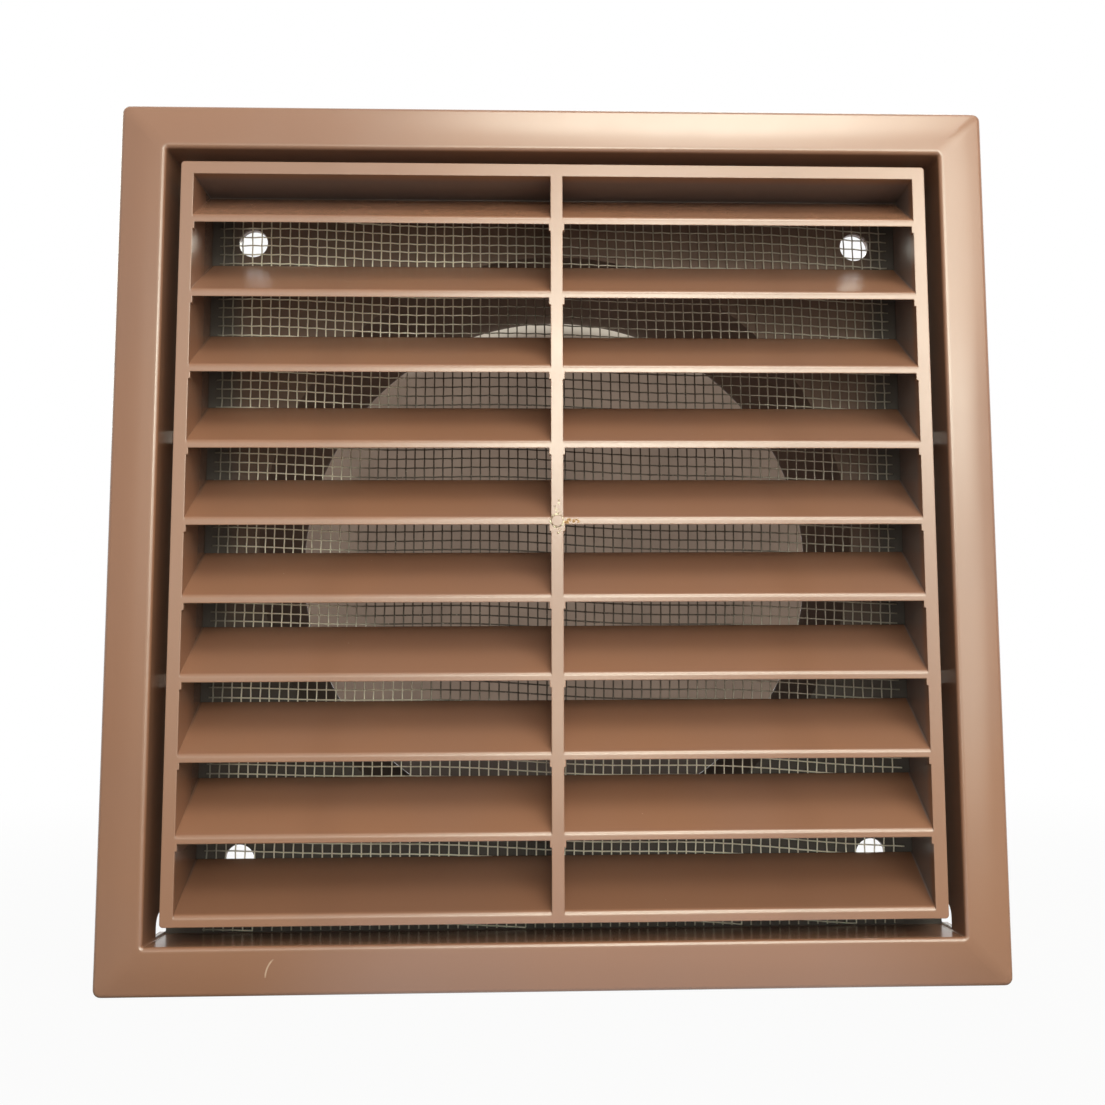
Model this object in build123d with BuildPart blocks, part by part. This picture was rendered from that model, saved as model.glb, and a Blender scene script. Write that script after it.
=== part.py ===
from build123d import *
import os

# A wall vent for a round duct: a square frame with a spigot behind it, a louvre insert that snaps into
# the frame, and a woven fly screen between the two. Millimetres. The wall is the plane Y = 0, the room
# is on the -Y side, +Z is up, and the origin is on the spigot's axis. Sketches on Plane.XZ therefore
# rise out of the wall, and Plane.XZ.offset(h) stands h in front of it.

# Frame
face_size = 200.0
face_border = 10.8
face_rise = 20.0
face_fall = 1.7
crown_fall = 0.55
face_corner = 1.7
face_edge = 1.2
opening_corner = 0.5
lip_land = 1.2
lip_edge = 0.9
skin = 2.0
plate_thickness = 2.2
spigot_diameter = 145.0
spigot_wall = 2.5
spigot_length = 55.0
spigot_lead = 1.0
screw_spacing = 146.0
screw_hole = 6.9
drain_height = 5.6
drain_depth = 7.7
drain_corner = 3.0

# Fly screen
wire_diameter = 0.4
screen_side_gap = 8.2
screen_top_gap = 9.7
screen_bottom_gap = 0.2
screen_columns = 10
screen_rows = 11
screen_strand = 2.2

# Louvre insert
insert_side_gap = 3.8
insert_top_gap = 3.55
insert_bottom_gap = 4.25
insert_proud = 0.7
insert_corner = 0.8
rim_side = 2.85
rim_top = 2.85
mullion_width = 2.75
slat_pitch = 17.35
slat_face = 1.7
slat_rise = 11.35
slat_first = 12.55
slat_nose = 1.2
sill_face = 2.25
sill_rise = 10.1
last_cell_share = 0.9
gusset_width = 0.4
gusset_height = 1.5
gusset_depth = 1.2
gate_diameter = 2.6
gate_height = 0.25
lug_height = 3.0
lug_thickness = 3.0
lug_tip = 1.0
lug_grip = 1.2
lug_level = 6.5
lug_spacing = 56.4
lug_centre = -3.9
lug_clearance = 0.3

# Places that follow from the sizes above
shoulder = face_rise - face_fall
opening_size = face_size - 2 * face_border
half_opening = opening_size / 2
lip_size = opening_size + 2 * lip_land
lip_corner = opening_corner + lip_land
crown_size = (face_size + lip_size) / 2
crown_corner = (face_corner + lip_corner) / 2
screen_width = opening_size - 2 * screen_side_gap
screen_height = opening_size - screen_top_gap - screen_bottom_gap
screen_z = (screen_bottom_gap - screen_top_gap) / 2
screen_thickness = 2 * wire_diameter
seat = plate_thickness + screen_thickness
insert_width = opening_size - 2 * insert_side_gap
insert_height = opening_size - insert_top_gap - insert_bottom_gap
insert_z = (insert_bottom_gap - insert_top_gap) / 2
half_insert = insert_width / 2
cell_edge = half_insert - rim_side
insert_front = face_rise + insert_proud
insert_depth = insert_front - seat
insert_top = half_opening - insert_top_gap
insert_bottom = insert_bottom_gap - half_opening
slat_top = insert_top - slat_first
sill_top = insert_bottom + sill_face
slat_count = int((slat_top - sill_top) / slat_pitch + 1 - last_cell_share)
slat_tops = [slat_top - slat_pitch * row for row in range(slat_count)]
gate_z = slat_tops[slat_count // 2] - slat_face / 2
lug_window = lug_height + 2 * lug_clearance
lug_slot = lug_thickness + 2 * lug_clearance

# The frame is one moulding: face and skirt, box walls, back plate and spigot
with BuildPart() as outer_frame:
    with BuildSketch(Plane.XZ):
        RectangleRounded(face_size, face_size, face_corner)
    extrude(amount=shoulder)
    with BuildSketch(Plane.XZ.offset(shoulder)):
        RectangleRounded(face_size, face_size, face_corner)
    with BuildSketch(Plane.XZ.offset(face_rise - crown_fall)):
        RectangleRounded(crown_size, crown_size, crown_corner)
    with BuildSketch(Plane.XZ.offset(face_rise)):
        RectangleRounded(lip_size, lip_size, lip_corner)
    loft()
    shoulder_edges = outer_frame.edges().filter_by_position(Axis.Y, -shoulder, -shoulder)
    fillet(shoulder_edges, face_edge)

    # The well that takes the insert, down to the plate
    with BuildSketch(Plane.XZ.offset(plate_thickness)):
        RectangleRounded(opening_size, opening_size, opening_corner)
    extrude(amount=face_rise, mode=Mode.SUBTRACT)
    land = outer_frame.faces().sort_by(Axis.Y)[0]
    fillet(land.inner_wires()[0].edges(), lip_edge)

    # The hollow behind the face, open to the wall
    with BuildSketch(Plane.XZ):
        Rectangle(face_size - 2 * skin, face_size - 2 * skin)
        Rectangle(opening_size + 2 * skin, opening_size + 2 * skin, mode=Mode.SUBTRACT)
    extrude(amount=shoulder - skin, mode=Mode.SUBTRACT)

    with BuildSketch(Plane.XZ):
        Circle(spigot_diameter / 2)
    extrude(amount=-spigot_length)
    spigot_end = outer_frame.faces().sort_by(Axis.Y)[-1]
    chamfer(spigot_end.edges(), spigot_lead)
    with BuildSketch(Plane.XZ.offset(-spigot_length)):
        Circle(spigot_diameter / 2 - spigot_wall)
    extrude(amount=spigot_length + plate_thickness, mode=Mode.SUBTRACT)

    with BuildSketch(Plane.XZ):
        with GridLocations(screw_spacing, screw_spacing, 2, 2):
            Circle(screw_hole / 2)
    extrude(amount=plate_thickness, mode=Mode.SUBTRACT)

    # Notches at the foot of both side walls let water out of the well
    with BuildSketch(Plane.YZ.offset(half_opening)) as drain:
        with Locations((0, -half_opening)):
            Rectangle(plate_thickness + drain_depth, drain_height, align=(Align.MAX, Align.MIN))
        front_top = drain.vertices().group_by(Axis.X)[0].sort_by(Axis.Y)[-1]
        fillet(front_top, drain_corner)
    drain_cut = extrude(amount=skin, mode=Mode.SUBTRACT)
    mirror(drain_cut, about=Plane.YZ, mode=Mode.SUBTRACT)

    # Windows that the insert's lugs snap into
    with BuildSketch(Plane.YZ.offset(half_opening)):
        with Locations((-lug_level, lug_centre)):
            with GridLocations(0, lug_spacing, 1, 2):
                Rectangle(lug_slot, lug_window)
    window_cut = extrude(amount=skin, mode=Mode.SUBTRACT)
    mirror(window_cut, about=Plane.YZ, mode=Mode.SUBTRACT)

# The screen is one woven sheet, drawn as a wall with gaps and the raised wires of either face
with BuildPart() as fly_screen:
    strand_x = (screen_width - screen_strand) / screen_columns
    strand_z = (screen_height - screen_strand) / screen_rows
    with BuildSketch(Plane.XZ.offset(plate_thickness + wire_diameter / 2)):
        with Locations((0, screen_z)):
            Rectangle(screen_width, screen_height)
            with GridLocations(strand_x, strand_z, screen_columns, screen_rows):
                Rectangle(strand_x - screen_strand, strand_z - screen_strand, mode=Mode.SUBTRACT)
    extrude(amount=wire_diameter)
    with BuildSketch(Plane.XZ.offset(plate_thickness)):
        with Locations((0, screen_z)):
            with GridLocations(0, strand_z, 1, screen_rows + 1):
                Rectangle(screen_width, wire_diameter)
    extrude(amount=wire_diameter)
    with BuildSketch(Plane.XZ.offset(seat)):
        with Locations((0, screen_z)):
            with GridLocations(strand_x, 0, screen_columns + 1, 1):
                Rectangle(wire_diameter, screen_height)
    extrude(amount=-wire_diameter)

# The insert is one moulding: a rim with a mullion, slats that fall towards the room, and a sloped sill
with BuildPart() as louvre_insert:
    slats = [(top, slat_rise, slat_face) for top in slat_tops]
    sill = (sill_top, sill_rise, sill_face)
    with BuildSketch(Plane.YZ):
        for top, rise, face in slats + [sill]:
            with BuildLine() as profile:
                Polyline(
                    (-insert_front, top),
                    (-seat, top + rise),
                    (-seat, top + rise - face),
                    (-insert_front, top - face),
                    close=True,
                )
                nose = profile.vertices().group_by(Axis.X)[0].sort_by(Axis.Y)[-1]
                fillet(nose, slat_nose)
            make_face()
    extrude(amount=half_insert, both=True)
    with BuildSketch(Plane.XZ.offset(seat)):
        with Locations((0, insert_z)):
            Rectangle(mullion_width, insert_height)
            with GridLocations(insert_width - rim_side, 0, 2, 1):
                Rectangle(rim_side, insert_height)
        with Locations((0, insert_top)):
            Rectangle(insert_width, rim_top, align=(Align.CENTER, Align.MAX))
    extrude(amount=insert_depth)
    with BuildSketch(Plane.XZ.offset(seat)):
        with Locations((0, insert_z)):
            RectangleRounded(insert_width, insert_height, insert_corner)
    extrude(amount=insert_depth, mode=Mode.INTERSECT)

    # Small gussets under the front of each slat, at the rim and at the mullion
    with BuildSketch(Plane.XZ.offset(insert_front)):
        for top in slat_tops:
            for side in (cell_edge, -cell_edge, mullion_width / 2, -mullion_width / 2):
                with Locations((side, top - slat_face / 2)):
                    Rectangle(
                        2 * gusset_width,
                        gusset_height + slat_face / 2,
                        align=(Align.CENTER, Align.MAX),
                    )
    extrude(amount=-gusset_depth)

    # The mark that the moulding gate left at the middle of the grille
    with BuildSketch(Plane.XZ.offset(insert_front)):
        with Locations((0, gate_z)):
            Circle(gate_diameter / 2)
    extrude(amount=gate_height)

    # Lugs on both sides, with a ramp that leads them into the frame's windows
    for level in (lug_centre - lug_spacing / 2, lug_centre + lug_spacing / 2):
        with BuildSketch(Plane.XY.offset(level)):
            with BuildLine():
                Polyline(
                    (half_insert - rim_side / 2, -lug_level - lug_thickness / 2),
                    (half_opening + lug_grip, -lug_level - lug_thickness / 2),
                    (half_opening + lug_grip, -lug_level - lug_thickness / 2 + lug_tip),
                    (half_insert, -lug_level + lug_thickness / 2),
                    (half_insert - rim_side / 2, -lug_level + lug_thickness / 2),
                    close=True,
                )
            make_face()
            mirror(about=Plane.YZ)
        extrude(amount=lug_height / 2, both=True)

os.makedirs("parts", exist_ok=True)
outer_frame.part.label = "outer_frame"
fly_screen.part.label = "fly_screen"
louvre_insert.part.label = "louvre_insert"
export_step(outer_frame.part, "parts/outer_frame.step")
export_step(fly_screen.part, "parts/fly_screen.step")
export_step(louvre_insert.part, "parts/louvre_insert.step")
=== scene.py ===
import math

import bpy
import numpy as np
from mathutils import Matrix, Vector


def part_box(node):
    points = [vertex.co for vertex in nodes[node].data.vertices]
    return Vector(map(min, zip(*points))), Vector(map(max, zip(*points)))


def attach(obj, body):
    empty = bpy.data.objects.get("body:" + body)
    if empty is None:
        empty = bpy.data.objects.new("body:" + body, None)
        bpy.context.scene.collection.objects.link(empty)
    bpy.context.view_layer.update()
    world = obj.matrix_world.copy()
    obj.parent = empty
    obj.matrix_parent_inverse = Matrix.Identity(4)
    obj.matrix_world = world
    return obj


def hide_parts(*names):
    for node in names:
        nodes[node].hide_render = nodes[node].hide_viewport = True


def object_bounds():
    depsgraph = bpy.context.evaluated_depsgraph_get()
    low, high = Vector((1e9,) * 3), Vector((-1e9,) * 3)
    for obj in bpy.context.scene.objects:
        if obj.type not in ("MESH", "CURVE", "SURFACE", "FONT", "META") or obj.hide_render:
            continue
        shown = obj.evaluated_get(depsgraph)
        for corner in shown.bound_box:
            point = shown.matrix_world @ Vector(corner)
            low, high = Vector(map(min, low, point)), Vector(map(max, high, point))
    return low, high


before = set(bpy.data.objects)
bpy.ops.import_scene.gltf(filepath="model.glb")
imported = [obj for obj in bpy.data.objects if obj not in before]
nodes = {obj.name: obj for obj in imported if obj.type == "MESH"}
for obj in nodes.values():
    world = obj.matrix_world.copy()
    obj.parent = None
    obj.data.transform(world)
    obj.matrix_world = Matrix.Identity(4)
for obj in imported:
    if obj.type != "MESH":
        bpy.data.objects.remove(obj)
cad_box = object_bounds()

# Looks for a brown plastic wall vent with a woven wire screen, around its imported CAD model. Metres, in the
# CAD frame: the room is on the -Y side, +Z is up, and the origin is on the spigot's axis. Colours are linear.

MM = 0.001
scene = bpy.context.scene
chance = np.random.default_rng(11)


# Helpers. Those that take a tree add nodes to it, and most of them return an output socket.

def new_material(name):
    material = bpy.data.materials.new(name)
    material.use_nodes = True
    material.node_tree.nodes.clear()
    return material, material.node_tree


def put(tree, kind, settings=None, **inputs):
    """A node with its settings made and its sockets filled, each by a value or by another node's output.

    A socket is named with _ for each space, or by i and its number, as in i0.
    """
    made = tree.nodes.new(kind)
    for key, value in (settings or {}).items():
        setattr(made, key, value)
    for key, value in inputs.items():
        numbered = key[0] == "i" and key[1:].isdigit()
        socket = made.inputs[int(key[1:]) if numbered else key.replace("_", " ")]
        if isinstance(value, bpy.types.NodeSocket):
            tree.links.new(value, socket)
        else:
            socket.default_value = value
    return made


def position(tree):
    """Where a point of the surface is, as a vector and as its x, y and z."""
    where = put(tree, "ShaderNodeTexCoord").outputs["Object"]
    return where, *put(tree, "ShaderNodeSeparateXYZ", Vector=where).outputs


def noise(tree, where, scale, detail=2.0, rough=0.5):
    """Cloudy noise from 0 to 1, with about scale clouds to the metre."""
    made = put(tree, "ShaderNodeTexNoise", Vector=where, Scale=scale, Detail=detail, Roughness=rough)
    return made.outputs["Fac"]


def ramp(tree, value, start, end, from_level=0.0, to_level=1.0):
    """A smooth step between two levels while value goes from start to end, up or down."""
    settings = {"clamp": True, "interpolation_type": "SMOOTHSTEP"}
    made = put(
        tree, "ShaderNodeMapRange", settings, i0=value, i1=start, i2=end, i3=from_level, i4=to_level
    )
    return made.outputs[0]


def maths(tree, operation, first, second=0.0):
    return put(tree, "ShaderNodeMath", {"operation": operation}, i0=first, i1=second).outputs[0]


def times(tree, first, *others):
    for other in others:
        first = maths(tree, "MULTIPLY", first, other)
    return first


def largest(tree, first, second):
    return maths(tree, "MAXIMUM", first, second)


def off(tree, value, centre):
    """How far value is from centre."""
    return maths(tree, "ABSOLUTE", maths(tree, "SUBTRACT", value, centre))


def length(tree, vector):
    return put(tree, "ShaderNodeVectorMath", {"operation": "LENGTH"}, i0=vector).outputs["Value"]


def from_axis(tree, x, z):
    """The distance from a line along Y."""
    return length(tree, put(tree, "ShaderNodeCombineXYZ", X=x, Z=z).outputs[0])


def blend(tree, share, first, second):
    """The first colour with a share of the second."""
    return put(tree, "ShaderNodeMix", {"data_type": "RGBA"}, i0=share, i6=first, i7=second).outputs[2]


def shade(tree, **inputs):
    """Ends a material with the Principled shader."""
    shader = put(tree, "ShaderNodeBsdfPrincipled", **inputs)
    put(tree, "ShaderNodeOutputMaterial", Surface=shader.outputs[0])


def mix_out(tree, kind, share, first, second):
    """Ends a material or a world with a mix of two shaders."""
    mixed = put(tree, "ShaderNodeMixShader", i0=share, i1=first.outputs[0], i2=second.outputs[0])
    put(tree, kind, Surface=mixed.outputs[0])


def add_mesh(name, verts, faces, material):
    mesh = bpy.data.meshes.new(name)
    mesh.from_pydata(verts, [], faces)
    mesh.materials.append(material)
    made = bpy.data.objects.new(name, mesh)
    scene.collection.objects.link(made)
    return made


# Plastic: brown pigment with a slow drift of tone, a fine moulded grain, soft edges with a painted highlight,
# and a little dust

BROWN = (0.264, 0.127, 0.077, 1.0)
BROWN_PINK = (0.251, 0.126, 0.083, 1.0)
BROWN_DUST_AND_HIGHLIGHT = (0.560, 0.410, 0.310, 1.0)

# Below a roughness of 0.274 the denoiser's guides leave gloss out. Plastic that lies partly on each side of it
# is drawn with cracks along the border, so all the clean plastic is below.
PLASTIC_ROUGHNESS = (0.236, 0.268)
PLASTIC_IOR = 1.52


def plastic(name, edge_radius, marks):
    """Moulded plastic. marks adds to its colour and roughness what is particular to one piece."""
    material, tree = new_material(name)
    place = position(tree)
    where = place[0]
    drift = noise(tree, where, 16.0, 3.0)
    grain = noise(tree, where, 2400.0)
    haze = noise(tree, where, 60.0, 4.0, 0.6)
    colour = blend(tree, ramp(tree, drift, 0.35, 0.65), BROWN, BROWN_PINK)

    # Painted highlight: edges and corners, hollow ones too, are a touch lighter where the rounded normal turns
    # from the true one
    rounded = put(tree, "ShaderNodeBevel", {"samples": 6}, Radius=edge_radius).outputs[0]
    true_normal = put(tree, "ShaderNodeNewGeometry").outputs["True Normal"]
    turn = put(tree, "ShaderNodeVectorMath", {"operation": "DOT_PRODUCT"}, i0=rounded, i1=true_normal)
    edge_highlight = ramp(tree, turn.outputs["Value"], 0.99, 0.80, 0.0, 0.08)
    colour = blend(tree, edge_highlight, colour, BROWN_DUST_AND_HIGHLIGHT)

    # Dust specks in a few of the cells of a fine pattern
    cells = put(tree, "ShaderNodeTexVoronoi", {"feature": "F1"}, Vector=where, Scale=210.0, Randomness=1.0)
    drawn = put(tree, "ShaderNodeSeparateColor", i0=cells.outputs["Color"]).outputs[0]
    chosen = maths(tree, "GREATER_THAN", drawn, 0.93)
    speck = ramp(tree, cells.outputs["Distance"], 0.045, 0.015, 0.0, 0.30)
    colour = blend(tree, times(tree, chosen, speck), colour, BROWN_DUST_AND_HIGHLIGHT)

    rough = ramp(tree, haze, 0.3, 0.7, *PLASTIC_ROUGHNESS)
    colour, rough = marks(tree, place, colour, rough)
    bump = put(tree, "ShaderNodeBump", Strength=0.05, Distance=0.06 * MM, Height=grain, Normal=rounded)
    shade(
        tree, Base_Color=colour, Roughness=rough, Normal=bump.outputs[0],
        IOR=PLASTIC_IOR, Specular_IOR_Level=1.0,
    )
    return material


# Marks on the frame: a light curved scratch on the bottom rail, and painted shade that darkens the plate and
# the bore

SCRATCH_X, SCRATCH_Z, SCRATCH_RADIUS = -57.05 * MM, -96.10 * MM, 5.90 * MM
SCRATCH_PALE = (0.74, 0.60, 0.48, 1.0)
PLATE_SHADE = (0.055, 0.046, 0.040, 1.0)
PLATE_SHADE_LEAST, PLATE_SHADE_MOST = 0.60, 0.97


def scratch_mask(tree, x, y, z):
    """A piece of a circle's left side, on the face alone."""
    dx = maths(tree, "SUBTRACT", x, SCRATCH_X)
    dz = maths(tree, "SUBTRACT", z, SCRATCH_Z)
    line = ramp(tree, off(tree, from_axis(tree, dx, dz), SCRATCH_RADIUS), 0.22 * MM, 0.06 * MM)
    left = maths(tree, "LESS_THAN", dx, 0.0)
    foot = ramp(tree, dz, 0.0, 1.0 * MM)
    head = ramp(tree, dz, 4.4 * MM, 3.4 * MM)
    face = maths(tree, "LESS_THAN", y, -15.0 * MM)
    return times(tree, line, left, foot, head, face)


def plate_shade_mask(tree, x, y, z):
    """Where shade is painted: the plate's front inside the well, and the bore."""
    off_middle = largest(tree, maths(tree, "ABSOLUTE", x), maths(tree, "ABSOLUTE", z))
    well = ramp(tree, off_middle, 90.0 * MM, 89.4 * MM)
    front = times(tree, ramp(tree, y, -3.0 * MM, -2.3 * MM), ramp(tree, y, -1.0 * MM, -1.6 * MM))
    bore = ramp(tree, from_axis(tree, x, z), 71.0 * MM, 70.3 * MM)
    return largest(tree, times(tree, front, well), bore)


def frame_marks(tree, place, colour, rough):
    _, x, y, z = place
    scratch = scratch_mask(tree, x, y, z)
    colour = blend(tree, times(tree, scratch, 0.45), colour, SCRATCH_PALE)

    # Painted shade: darker low down and towards the side walls
    plate_shade = plate_shade_mask(tree, x, y, z)
    low = ramp(tree, z, 10.0 * MM, -40.0 * MM, PLATE_SHADE_LEAST, PLATE_SHADE_MOST)
    beside = ramp(tree, maths(tree, "ABSOLUTE", x), 73.0 * MM, 79.0 * MM, PLATE_SHADE_LEAST, PLATE_SHADE_MOST)
    colour = blend(tree, times(tree, plate_shade, largest(tree, low, beside)), colour, PLATE_SHADE)
    dulled = largest(tree, times(tree, scratch, 0.2), times(tree, plate_shade, 0.5))
    return colour, maths(tree, "ADD", rough, dulled)


# Marks on the louvres: weld lines along the slats, and painted shade on the sill and on the cells' walls and
# ceiling

WELDS_X = (-51.5 * MM, 53.0 * MM)
WELD_WANDER = 8.0 * MM
WELD_HALF_WIDTH = 7.5 * MM
WELD_BROWN = (0.205, 0.098, 0.060, 1.0)
SILL_SHADE_BROWN = (0.125, 0.058, 0.035, 1.0)
WALL_SHADE_DARK = (0.075, 0.062, 0.058, 1.0)
WALL_SHADE_GREY = (0.150, 0.138, 0.142, 1.0)


def louvre_marks(tree, place, colour, rough):
    where, x, y, z = place

    # The plastic's flow fronts met half way along each row of slats
    uneven = maths(tree, "SUBTRACT", noise(tree, where, 60.0, 1.0), 0.5)
    along = maths(tree, "ADD", x, times(tree, uneven, WELD_WANDER))
    left_weld, right_weld = (ramp(tree, off(tree, along, weld_x), WELD_HALF_WIDTH, 0.0) for weld_x in WELDS_X)
    colour = blend(tree, times(tree, largest(tree, left_weld, right_weld), 0.24), colour, WELD_BROWN)

    # Painted shade: the sill's top is darkened
    sill = times(tree, ramp(tree, z, -67.5 * MM, -70.0 * MM), ramp(tree, y, -20.3 * MM, -19.5 * MM))
    colour = blend(tree, times(tree, sill, 0.55), colour, SILL_SHADE_BROWN)

    # Painted shade: the left walls are dark only deep inside, the right walls and the ceiling are grey from the
    # front
    left_wall_shade = times(tree, ramp(tree, x, -82.0 * MM, -82.4 * MM), ramp(tree, y, -15.0 * MM, -6.0 * MM))
    colour = blend(tree, times(tree, left_wall_shade, 0.50), colour, WALL_SHADE_DARK)
    right_wall = ramp(tree, x, 82.0 * MM, 82.4 * MM)
    ceiling = ramp(tree, z, 82.2 * MM, 82.6 * MM)
    inside = ramp(tree, y, -20.4 * MM, -16.0 * MM)
    grey_wall_shade = times(tree, largest(tree, right_wall, ceiling), inside, 0.70)
    return blend(tree, grey_wall_shade, colour, WALL_SHADE_GREY), rough


frame_plastic = plastic("brown_frame_plastic", 0.25 * MM, frame_marks)
louvre_plastic = plastic("brown_louvre_plastic", 0.30 * MM, louvre_marks)

for node_name, material in (("outer_frame", frame_plastic), ("louvre_insert", louvre_plastic)):
    mesh = nodes[node_name].data
    mesh.materials.clear()
    mesh.materials.append(material)


# Fly screen: plain weave of crimped steel wire, cut square and a little out of true, as cut mesh is

WIRE_PITCH = 2.2 * MM
WIRE_SIDES = 6
UNEVEN_PITCH = 0.05 * MM
screen_low, screen_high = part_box("fly_screen")
screen_size = screen_high - screen_low
screen_mid = (screen_low.y + screen_high.y) / 2
crimp = screen_size.y / 4
wire_radius = 0.85 * crimp


def pulled(x, z):
    """Where the weave's crossing at (x, z) lies after the sheet was stretched and cut.

    The level wires droop to the right, most of all low down, and both kinds wander by part of a millimetre.
    """
    across = (x - screen_low.x) / screen_size.x
    down = (screen_high.z - z) / screen_size.z
    lift = 1.6 - 2.4 * across - 1.6 * across ** 2 - 3.2 * across ** 2 * max(down, 0.0) ** 1.5
    ripple = 0.28 * math.sin(17.0 * across + 2.0 * down) + 0.22 * math.sin(7.0 * down + 11.0 * across)
    sway = 0.9 * math.sin(3.1 * down + 0.4) * (0.4 + across) + 0.35 * math.sin(9.0 * across + 4.0 * down)
    return x + sway * MM, z + (lift + ripple) * MM


def wire_run(points, low, high, axis):
    """The part of a wire between two cut edges, ended on the edges themselves. The points rise along axis."""
    kept = []
    for here, after in zip(points[:-1], points[1:]):
        step = after - here
        if after[axis] < low or here[axis] > high:
            continue
        if not kept:
            kept.append(here + step * max(0.0, (low - here[axis]) / step[axis]))
        kept.append(here + step * min(1.0, (high - here[axis]) / step[axis]))
    return np.array(kept)


def add_tube(points, side, verts, faces):
    """A round wire along points, with flat ends. side is the direction across it, in the plane of the sheet."""
    start = len(verts)
    turns = [2 * math.pi * k / WIRE_SIDES for k in range(WIRE_SIDES)]
    forward = np.array([0.0, 1.0, 0.0])
    for point in points:
        for turn in turns:
            verts.append(tuple(point + wire_radius * (side * math.cos(turn) + forward * math.sin(turn))))
    for step in range(len(points) - 1):
        ring = start + step * WIRE_SIDES
        for k in range(WIRE_SIDES):
            a, b = ring + k, ring + (k + 1) % WIRE_SIDES
            faces.append((a, b, b + WIRE_SIDES, a + WIRE_SIDES))
    last = start + (len(points) - 1) * WIRE_SIDES
    faces.append(tuple(start + k for k in reversed(range(WIRE_SIDES))))
    faces.append(tuple(last + k for k in range(WIRE_SIDES)))


def weave():
    """The wires' vertices and faces. Some start outside the sheet, because the pull brings them in."""
    verts, faces = [], []
    columns = range(-3, int(screen_size.x / WIRE_PITCH) + 5)
    rows = range(-5, int(screen_size.z / WIRE_PITCH) + 8)
    column_x = {i: screen_low.x + (i + 0.4) * WIRE_PITCH + chance.normal() * UNEVEN_PITCH for i in columns}
    row_z = {j: screen_low.z + (j + 0.4) * WIRE_PITCH + chance.normal() * UNEVEN_PITCH for j in rows}
    x_low, x_high = screen_low.x + wire_radius, screen_high.x - wire_radius
    z_low, z_high = screen_low.z + wire_radius, screen_high.z - wire_radius

    def crossing(i, j, layer):
        """A point on a wire. layer is 1 on an upright wire and -1 on a level one, so that they pass."""
        x, z = pulled(column_x[i], row_z[j])
        over = layer if (i + j) % 2 else -layer
        return np.array([x, screen_mid + crimp * over, z])

    for i in columns:
        points = wire_run([crossing(i, j, 1) for j in rows], z_low, z_high, 2)
        if len(points) > 1 and points[:, 0].min() >= x_low and points[:, 0].max() <= x_high:
            add_tube(points, np.array([1.0, 0.0, 0.0]), verts, faces)
    for j in rows:
        points = wire_run([crossing(i, j, -1) for i in columns], x_low, x_high, 0)
        inside = [point for point in points if z_low <= point[2] <= z_high]
        if len(inside) > 2:
            add_tube(inside, np.array([0.0, 0.0, 1.0]), verts, faces)
    return verts, faces


WIRE_SHADED = (0.45, 0.41, 0.35, 1.0)
WIRE_LIT = (0.93, 0.88, 0.75, 1.0)
WIRE_DEEP_SHADE = (0.13, 0.11, 0.09, 1.0)
WIRE_PAINTED_GLINT = (0.93, 0.89, 0.80, 1.0)
DUCT_SHADE_Z = 6.0 * MM
SHADE_WANDER = 30.0 * MM


def wire_material():
    """Galvanised wire with painted light: a painted highlight at the left and the foot, painted shade at the
    right, darker painted shade over the duct's middle and at the left end, and painted glints.
    """
    material, tree = new_material("screen_wire_steel")
    where, x, _, z = position(tree)
    fine = noise(tree, where, 1500.0)
    uneven = maths(tree, "SUBTRACT", noise(tree, where, 45.0, 4.0, 0.6), 0.5)
    wander = times(tree, uneven, SHADE_WANDER)

    # Painted highlight at the left and the foot, painted shade elsewhere
    left = ramp(tree, maths(tree, "ADD", x, wander), 10.0 * MM, -35.0 * MM)
    foot = ramp(tree, z, -44.0 * MM, -52.0 * MM)
    colour = blend(tree, largest(tree, left, foot), WIRE_SHADED, WIRE_LIT)

    # Darker painted shade over the duct's middle and at the left end
    from_duct = from_axis(tree, x, maths(tree, "SUBTRACT", z, DUCT_SHADE_Z))
    duct_shade = ramp(tree, maths(tree, "ADD", from_duct, wander), 58.0 * MM, 44.0 * MM)
    left_end_shade = ramp(tree, x, -72.0 * MM, -79.0 * MM, 0.0, 0.75)
    colour = blend(tree, largest(tree, left_end_shade, duct_shade), colour, WIRE_DEEP_SHADE)

    # Painted glints
    colour = blend(tree, ramp(tree, fine, 0.62, 0.75, 0.0, 0.3), colour, WIRE_PAINTED_GLINT)
    shade(tree, Base_Color=colour, Roughness=ramp(tree, fine, 0.3, 0.7, 0.28, 0.44), Metallic=0.25)
    return material


screen = add_mesh("woven_screen", *weave(), wire_material())
screen.data.shade_smooth()
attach(screen, "root")
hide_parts("fly_screen")


# Gate scar: the torn ring and crumbs that are left where the moulding's runner was snapped off. Sizes in these
# functions are in millimetres, from the gate's middle on the front plane.

GATE = Vector((0.0, -20.7 * MM, 2.85 * MM))
TRAIL_Z = (1.9, 2.3, 2.8, 3.3, 3.9, 4.6, -1.8, -2.2, -2.7)


def on_gate(x, rise, z):
    return tuple(GATE + Vector((x, -rise, z)) * MM)


def ragged_ring(verts, faces):
    """The torn edge itself, a low ring of uneven width."""
    steps, sides = 40, 6
    start = len(verts)
    for k in range(steps):
        turn = 2 * math.pi * k / steps
        ring = 1.36 + 0.17 * chance.normal()
        thick = 0.20 + 0.07 * abs(chance.normal())
        height = min(0.24, 0.13 + 0.06 * abs(chance.normal()))
        for s in range(sides):
            around = math.pi * s / (sides - 1)
            radius = ring + thick * math.cos(around)
            verts.append(on_gate(radius * math.cos(turn), height * math.sin(around), radius * math.sin(turn)))
    for k in range(steps):
        here = start + k * sides
        after = start + (k + 1) % steps * sides
        for s in range(sides):
            beside = (s + 1) % sides
            faces.append((here + s, here + beside, after + beside, after + s))


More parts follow.
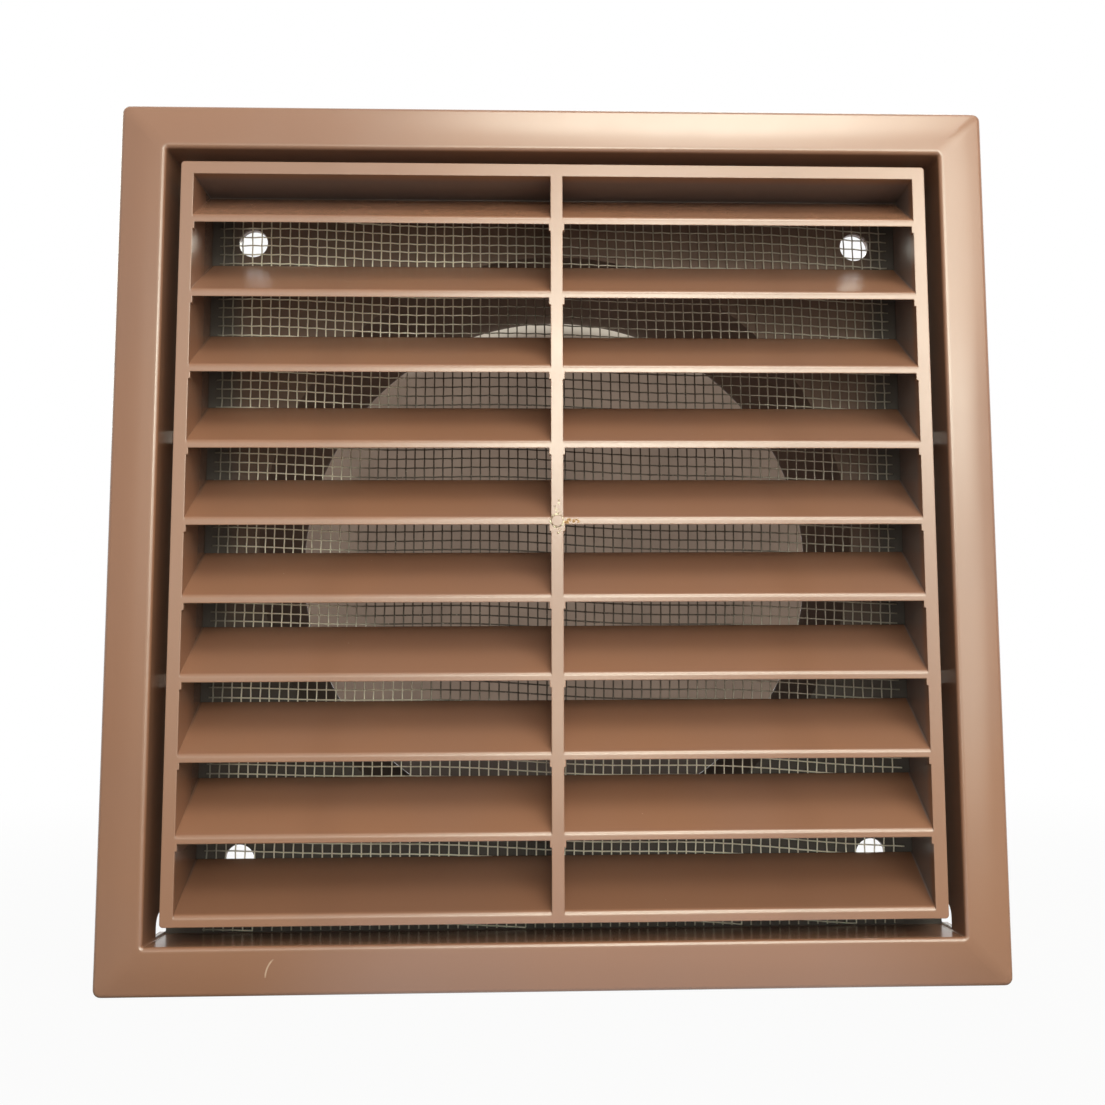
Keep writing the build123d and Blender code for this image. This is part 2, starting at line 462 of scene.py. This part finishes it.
def crumb(verts, faces, x, z, size):
    """A flake of torn plastic, an uneven low cone."""
    start, sides = len(verts), 7
    for k in range(sides):
        turn = 2 * math.pi * k / sides
        reach = size * (1 + 0.35 * chance.normal())
        verts.append(on_gate(x + reach * math.cos(turn), 0.0, z + reach * math.sin(turn)))
    verts.append(on_gate(x, min(0.22, 0.6 * size), z))
    for k in range(sides):
        faces.append((start + k, start + (k + 1) % sides, start + sides))
    faces.append(tuple(start + k for k in reversed(range(sides))))


def torn_plastic(name, light, dark):
    """Whitened or scorched plastic, patchy and rough."""
    material, tree = new_material(name)
    patch = noise(tree, position(tree)[0], 1400.0, 3.0)
    colour = blend(tree, ramp(tree, patch, 0.40, 0.60), light, dark)
    bump = put(tree, "ShaderNodeBump", Strength=0.6, Distance=0.1 * MM, Height=patch)
    shade(tree, Base_Color=colour, Normal=bump.outputs[0], Roughness=0.5)
    return material


def scar():
    """The ring, crumbs close around it, and a thin trail of them along the mullion."""
    verts, faces = [], []
    ragged_ring(verts, faces)
    for _ in range(16):
        turn = chance.uniform(0, 2 * math.pi)
        away = chance.uniform(0.2, 1.1)
        crumb(verts, faces, away * math.cos(turn), away * math.sin(turn), chance.uniform(0.12, 0.30))
    for z in TRAIL_Z:
        crumb(verts, faces, chance.uniform(-0.7, 0.8), z, chance.uniform(0.12, 0.28))
    return verts, faces


def smear():
    """Scorched crumbs dragged along the slat to the right of the gate."""
    verts, faces = [], []
    for _ in range(22):
        along = chance.uniform(0.0, 1.0)
        crumb(verts, faces, 1.7 + 3.4 * along, chance.uniform(-0.35, 0.35), 0.34 - 0.16 * along)
    return verts, faces


torn_pale = torn_plastic("torn_pale", (0.86, 0.78, 0.58, 1.0), (0.22, 0.15, 0.09, 1.0))
torn_brown = torn_plastic("torn_brown", (0.50, 0.30, 0.14, 1.0), (0.34, 0.19, 0.09, 1.0))

for name, shape, material in (("gate_scar", scar, torn_pale), ("gate_smear", smear, torn_brown)):
    piece = add_mesh(name, *shape(), material)
    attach(piece, "root")


# Stage: a pale floor, and the grey surface that the spigot stood on, seen only through it from the front

WHITE = (1.0, 1.0, 1.0, 1.0)
FLOOR_GREY = (0.30, 0.29, 0.28, 1.0)
FLOOR_REACH = 6.0
SURFACE_PALE = (0.197, 0.146, 0.112, 1.0)
SURFACE_DARK = (0.155, 0.114, 0.088, 1.0)
SURFACE_LEAK_LIGHT = (0.62, 0.56, 0.46, 1.0)
SURFACE_FOOT_SHADE = (0.045, 0.036, 0.030, 1.0)
SURFACE_MATT = (0.10, 0.09, 0.08, 1.0)
SURFACE_RADIUS, SURFACE_Y, SURFACE_STEPS = 69.9 * MM, 54.5 * MM, 128


def shown_rays(tree, mirrored):
    """1 for the rays that show white: the camera's, and reflections where mirrored is 1."""
    path = put(tree, "ShaderNodeLightPath").outputs
    direct = largest(tree, path["Is Camera Ray"], path["Is Transmission Ray"])
    return largest(tree, direct, times(tree, path["Is Glossy Ray"], mirrored))


def floor_material():
    """Matt grey that is shown as white. Near the vent a little of the grey is left, for the shadow.

    Reflections show it white behind the vent, and in front only on a patch the size of a card.
    """
    material, tree = new_material("pale_floor")
    where, x, y, _ = position(tree)
    matt = put(tree, "ShaderNodeBsdfDiffuse", Color=FLOOR_GREY)
    white = put(tree, "ShaderNodeEmission", Color=WHITE, Strength=1.0)
    card = times(tree, ramp(tree, off(tree, x, 0.015), 0.090, 0.045), ramp(tree, y, -0.34, -0.24))
    behind = ramp(tree, y, -0.02, 0.02)
    far = ramp(tree, length(tree, where), 0.15, 0.70, 0.95, 1.0)
    whiteness = times(tree, shown_rays(tree, largest(tree, card, behind)), far)
    mix_out(tree, "ShaderNodeOutputMaterial", whiteness, matt, white)
    return material


def surface_material():
    """A dim clouded grey that glows as painted light, with a painted leak of light round its top and painted
    shade at its foot. Its back is clear.
    """
    material, tree = new_material("grey_surface_behind")
    where, x, _, z = position(tree)
    cloud = noise(tree, where, 55.0, 5.0, 0.6)
    grey = blend(tree, ramp(tree, cloud, 0.3, 0.7), SURFACE_PALE, SURFACE_DARK)
    rim = ramp(tree, from_axis(tree, x, z), 65.5 * MM, 69.5 * MM)
    upper = ramp(tree, z, 52.0 * MM, 66.0 * MM)
    grey = blend(tree, times(tree, rim, upper, 0.8), grey, SURFACE_LEAK_LIGHT)
    grey = blend(tree, ramp(tree, z, -42.0 * MM, -50.0 * MM), grey, SURFACE_FOOT_SHADE)
    # The grey glows: painted light
    glow = put(tree, "ShaderNodeEmission", Color=grey, Strength=0.95)
    matt = put(tree, "ShaderNodeBsdfDiffuse", Color=SURFACE_MATT)
    solid = put(tree, "ShaderNodeAddShader", i0=glow.outputs[0], i1=matt.outputs[0])
    clear = put(tree, "ShaderNodeBsdfTransparent")
    back = put(tree, "ShaderNodeNewGeometry").outputs["Backfacing"]
    mix_out(tree, "ShaderNodeOutputMaterial", back, solid, clear)
    return material


def floor_shape():
    """A large square just under the vent."""
    z = cad_box[0].z - 0.2 * MM
    corners = ((-1, -1), (1, -1), (1, 1), (-1, 1))
    return [(FLOOR_REACH * x, FLOOR_REACH * y, z) for x, y in corners], [(0, 1, 2, 3)]


def surface_shape():
    """A disc that just fits in the spigot's end."""
    turns = [2 * math.pi * k / SURFACE_STEPS for k in range(SURFACE_STEPS)]
    rim = [(SURFACE_RADIUS * math.cos(turn), SURFACE_Y, SURFACE_RADIUS * math.sin(turn)) for turn in turns]
    return rim, [tuple(range(SURFACE_STEPS))]


floor = add_mesh("floor", *floor_shape(), floor_material())
surface = add_mesh("surface_behind", *surface_shape(), surface_material())


# World: white where the camera sees it or a surface mirrors what is behind the vent, else a plain soft level

def light_world():
    scene.world = bpy.data.worlds.new("studio")
    scene.world.use_nodes = True
    tree = scene.world.node_tree
    tree.nodes.clear()
    ambient = put(tree, "ShaderNodeBackground", Color=(1.0, 1.0, 0.90, 1.0), Strength=0.38)
    backdrop = put(tree, "ShaderNodeBackground", Color=WHITE, Strength=1.0)
    heading = put(tree, "ShaderNodeTexCoord").outputs["Generated"]
    heading_y = put(tree, "ShaderNodeSeparateXYZ", Vector=heading).outputs[1]
    shown = shown_rays(tree, ramp(tree, heading_y, -0.15, 0.10, 0.25, 1.0))
    mix_out(tree, "ShaderNodeOutputWorld", shown, ambient, backdrop)


light_world()


# Lamps: soft warm discs around the vent, placed by the angles at which the vent sees them from its front

WARM = (1.0, 1.0, 0.85)
AIM = Vector((0.0, -0.02, 0.0))


def lamp(name, to_right, up, distance, spread, power):
    """A disc lamp that faces the vent. Angles are in degrees: spread is half the width it is seen at."""
    data = bpy.data.lights.new(name, "AREA")
    data.shape = "DISK"
    data.size = 2 * distance * math.tan(math.radians(spread))
    data.energy = power
    data.color = WARM
    made = bpy.data.objects.new(name, data)
    turn, rise = math.radians(to_right), math.radians(up)
    towards = Vector((math.sin(turn) * math.cos(rise), -math.cos(turn) * math.cos(rise), math.sin(rise)))
    made.location = AIM + distance * towards
    made.rotation_mode = "QUATERNION"
    made.rotation_quaternion = (-towards).to_track_quat("-Z", "Y")
    made.visible_camera = False
    scene.collection.objects.link(made)


lamp("key", to_right=4, up=16, distance=1.10, spread=8, power=2.9)
lamp("key_right", to_right=20, up=17, distance=1.10, spread=8, power=1.4)
lamp("upper", to_right=8, up=36, distance=1.10, spread=14, power=1.5)
lamp("overhead", to_right=12, up=52, distance=1.10, spread=12, power=4.2)
lamp("overhead_right", to_right=40, up=62, distance=1.10, spread=14, power=1.0)
lamp("right", to_right=38, up=24, distance=0.60, spread=14, power=0.88)
lamp("right_low", to_right=36, up=3, distance=0.60, spread=14, power=0.55)
lamp("front_left", to_right=-19, up=11, distance=1.10, spread=16, power=0.90)
lamp("front", to_right=-5, up=12, distance=0.45, spread=9, power=0.10)
lamp("front_low", to_right=2, up=-5, distance=0.60, spread=7, power=0.24)
lamp("back", to_right=165, up=30, distance=1.10, spread=14, power=4.0)
lamp("back_left", to_right=-145, up=25, distance=1.10, spread=14, power=3.0)


# Camera: fitted to the photograph. The focal length and the centre are in pixels of its square of SIDE pixels.

RIGHT = Vector((0.99934303, -0.03575625, -0.00591532))
DOWN = Vector((-0.00205039, 0.10717555, -0.994238))
FORWARD = Vector((0.0361842, 0.99359695, 0.10703182))
EYE = Vector((-0.00162999, -0.30946749, -0.03638375))
FOCAL, CENTRE_X, CENTRE_Y, SIDE = 1302.966, 597.249, 556.890, 1105.0
SENSOR = 36.0

camera_data = bpy.data.cameras.new("camera")
camera_data.sensor_fit = "HORIZONTAL"
camera_data.sensor_width = SENSOR
camera_data.lens = SENSOR * FOCAL / SIDE
camera_data.shift_x = (SIDE / 2 - CENTRE_X) / SIDE
camera_data.shift_y = (CENTRE_Y - SIDE / 2) / SIDE
camera_data.clip_start = 0.01
camera_data.clip_end = 50.0
camera = bpy.data.objects.new("camera", camera_data)
turned = Matrix((RIGHT, -DOWN, -FORWARD)).transposed().to_4x4()
camera.matrix_world = Matrix.Translation(EYE) @ turned
scene.collection.objects.link(camera)
scene.camera = camera

scene.view_settings.view_transform = "Standard"
